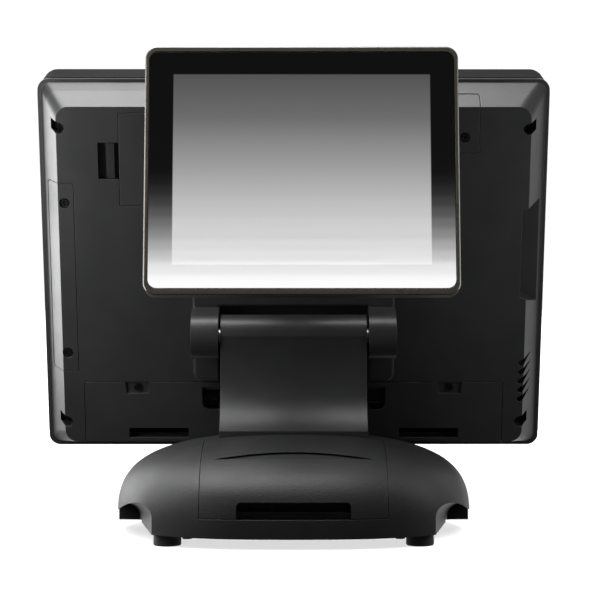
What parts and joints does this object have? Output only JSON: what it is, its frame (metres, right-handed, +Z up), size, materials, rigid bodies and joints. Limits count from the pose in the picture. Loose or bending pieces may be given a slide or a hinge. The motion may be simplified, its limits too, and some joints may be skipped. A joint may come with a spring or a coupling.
{
  "type": "pos touchscreen terminal",
  "caption": "Countertop point-of-sale touch terminal: tilting screen head on a neck and domed base, with a customer display on its back.",
  "frame": {"origin": "on the resting surface under the rubber feet, under the middle of the whole terminal's box at rest", "axes": "+Z up, +Y towards the cashier who touches the screen, -Y towards the customer, +X to the right of the customer looking at the back"},
  "size_m": [0.366, 0.2458, 0.3321],
  "materials": {
    "charcoal_plastic": "fine grained",
    "bezel_plastic": "fine grained",
    "inner_plastic": "plain",
    "display_trim": "satin bronze grey",
    "black_glass": "polished",
    "touch_glass": "polished",
    "lcd_module": "satin",
    "steel": "zinc plated",
    "screw_steel": "black oxide",
    "cast_alloy": "as cast",
    "heat_sink_alloy": "anodised",
    "circuit_board": "solder mask",
    "chip_black": "moulded",
    "connector_metal": "nickel plated",
    "black_rubber": "matt",
    "battery_wrap": "shrink wrap",
    "foam_tape": "foam",
    "ballast_steel": "powder coat"
  },
  "bodies": {
    "stand": {"neck_rear_shell": "charcoal_plastic", "neck_front_shell": "charcoal_plastic", "neck_frame": "cast_alloy", "tilt_shaft_left": "steel", "tilt_shaft_right": "steel", "neck_bolts": "steel", "base_dome": "charcoal_plastic", "base_plate": "ballast_steel", "ballast_plate": "ballast_steel", "power_adapter": "inner_plastic", "mains_inlet": "inner_plastic", "cable_clamp": "inner_plastic", "base_screws": "screw_steel", "rubber_feet": "black_rubber"},
    "head": {"front_bezel": "bezel_plastic", "touch_glass": "touch_glass", "glass_tape": "foam_tape", "lcd_panel": "lcd_module", "head_chassis": "steel", "chassis_screws": "screw_steel", "mainboard": "circuit_board", "board_screws": "steel", "processor": "chip_black", "heat_sink": "heat_sink_alloy", "memory_module": "circuit_board", "solid_state_drive": "circuit_board", "rear_connectors": "connector_metal", "rear_cover": "charcoal_plastic", "case_screws": "screw_steel", "side_cover": "charcoal_plastic", "side_cover_screws": "screw_steel", "option_cover": "charcoal_plastic", "option_cover_screws": "screw_steel", "cable_cover": "charcoal_plastic", "cable_cover_screws": "screw_steel", "battery_pack": "battery_wrap", "power_switch": "chip_black", "side_port_module": "connector_metal", "loudspeaker": "inner_plastic", "hinge_cover": "charcoal_plastic", "hinge_bracket_left": "steel", "hinge_bracket_right": "steel", "hinge_screws": "steel", "display_arm": "charcoal_plastic", "display_mount_screws": "screw_steel"},
    "customer_display": {"display_bezel": "display_trim", "display_glass": "black_glass", "display_lcd": "lcd_module", "display_housing": "charcoal_plastic", "display_screws": "screw_steel", "display_board": "circuit_board", "display_bracket": "inner_plastic", "display_hinge_pin": "steel", "display_bracket_screws": "screw_steel"},
    "power_button": {"power_button": "inner_plastic"},
    "hatch_latch": {"hatch_latch": "inner_plastic"},
    "battery_hatch": {"battery_hatch": "charcoal_plastic"},
    "base_rear_cover": {"base_rear_cover": "charcoal_plastic"}
  },
  "joints": [
    {"name": "head_tilt", "type": "hinge", "parent": "stand", "child": "head", "pos_m": [0, 0.01, 0.1375], "axis": [1, 0, 0], "range_deg": [-3, 30]},
    {"name": "display_tilt", "type": "hinge", "parent": "head", "child": "customer_display", "pos_m": [0, -0.05448, 0.24301], "axis": [1, 0, 0], "range_deg": [-15, 20]},
    {"name": "power_button_press", "type": "slide", "parent": "head", "child": "power_button", "axis": [-1, 0, 0], "range_m": [0, 0.0012], "stiffness_N_per_m": 400},
    {"name": "hatch_latch_slide", "type": "slide", "parent": "head", "child": "hatch_latch", "axis": [-1, 0, 0], "range_m": [0, 0.0045], "stiffness_N_per_m": 200},
    {"name": "battery_hatch_open", "type": "hinge", "parent": "head", "child": "battery_hatch", "pos_m": [-0.0618, 0.00473, 0.2629], "axis": [0, -0.2756, 0.9613], "range_deg": [0, 35]},
    {"name": "base_cover_off", "type": "slide", "parent": "stand", "child": "base_rear_cover", "axis": [0, -1, 0], "range_m": [0, 0.11]}
  ]
}
